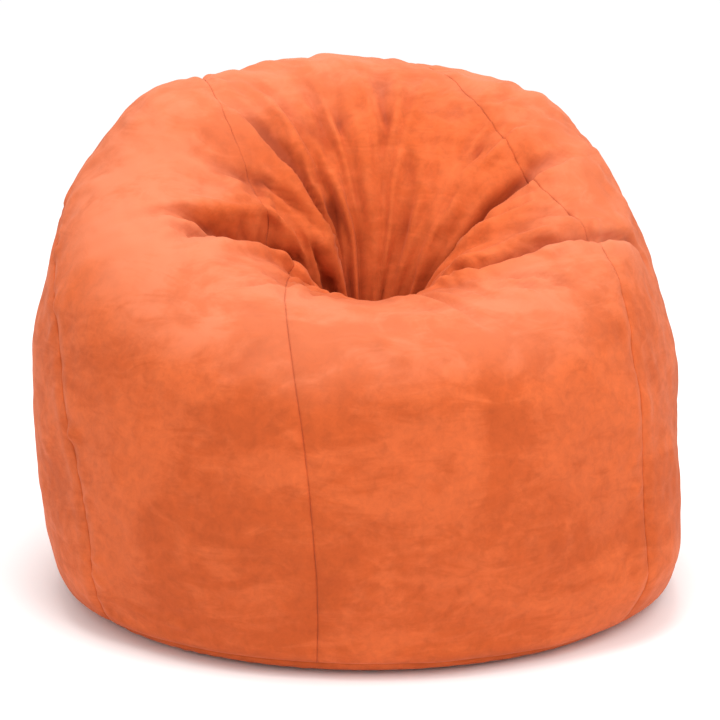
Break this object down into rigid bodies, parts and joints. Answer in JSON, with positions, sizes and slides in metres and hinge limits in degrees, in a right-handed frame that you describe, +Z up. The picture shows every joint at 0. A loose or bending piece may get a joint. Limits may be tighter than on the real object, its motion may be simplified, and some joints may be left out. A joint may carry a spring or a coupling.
{
  "type": "bean bag chair",
  "caption": "Large round bean bag chair with a sewn suede cover, a zipped inner liner and a foam fill, shaped by a sitter into a seat hollow with a high back.",
  "frame": {"origin": "on the floor, under the middle of the chair's outline", "axes": "+Z up; a sitter faces -Y; +X is on the right of someone who looks at the chair from the front"},
  "size_m": [1.0812, 1.0031, 0.845],
  "materials": {
    "suede": "brushed orange micro-suede with a mottled nap",
    "liner_cloth": "plain woven polyester, off white",
    "shredded_foam": "shredded upholstery foam, packed loose",
    "zip_tape": "woven polyester zip tape, dyed to match",
    "zip_teeth": "nylon coil",
    "liner_teeth": "nylon coil, white",
    "zip_metal": "zinc alloy, plated"
  },
  "bodies": {
    "bag": {"cover_base_back": "suede", "cover_base_front": "suede", "cover_cap": "suede", "cover_panel_1": "suede", "cover_panel_2": "suede", "cover_panel_3": "suede", "cover_panel_4": "suede", "cover_panel_5": "suede", "cover_panel_6": "suede", "cover_zip_garage_closed_end": "suede", "cover_zip_garage_open_end": "suede", "cover_zip_stop_closed_end": "zip_metal", "cover_zip_stop_open_end": "zip_metal", "cover_zip_tape_back": "zip_tape", "cover_zip_tape_front": "zip_tape", "cover_zip_teeth_back": "zip_teeth", "cover_zip_teeth_front": "zip_teeth", "foam_fill": "shredded_foam", "liner_base_left": "liner_cloth", "liner_base_right": "liner_cloth", "liner_cap": "liner_cloth", "liner_panel_1": "liner_cloth", "liner_panel_2": "liner_cloth", "liner_panel_3": "liner_cloth", "liner_panel_4": "liner_cloth", "liner_zip_garage_closed_end": "liner_cloth", "liner_zip_garage_open_end": "liner_cloth", "liner_zip_stop_closed_end": "zip_metal", "liner_zip_stop_open_end": "zip_metal", "liner_zip_tape_left": "liner_cloth", "liner_zip_tape_right": "liner_cloth", "liner_zip_teeth_left": "liner_teeth", "liner_zip_teeth_right": "liner_teeth"},
    "cover_slider": {"cover_zip_slider": "zip_metal"},
    "cover_pull": {"cover_zip_pull": "zip_metal"},
    "liner_slider": {"liner_zip_slider": "zip_metal"}
  },
  "joints": [
    {"name": "cover_zip", "type": "slide", "parent": "bag", "child": "cover_slider", "axis": [-1, 0, 0], "range_m": [0, 0.7263]},
    {"name": "cover_pull_hinge", "type": "hinge", "parent": "cover_slider", "child": "cover_pull", "pos_m": [0.36717, 0, 0.00055], "axis": [0, -1, 0], "range_deg": [0, 165]},
    {"name": "liner_zip", "type": "slide", "parent": "bag", "child": "liner_slider", "axis": [0, -1, 0], "range_m": [0, 0.7155]}
  ]
}
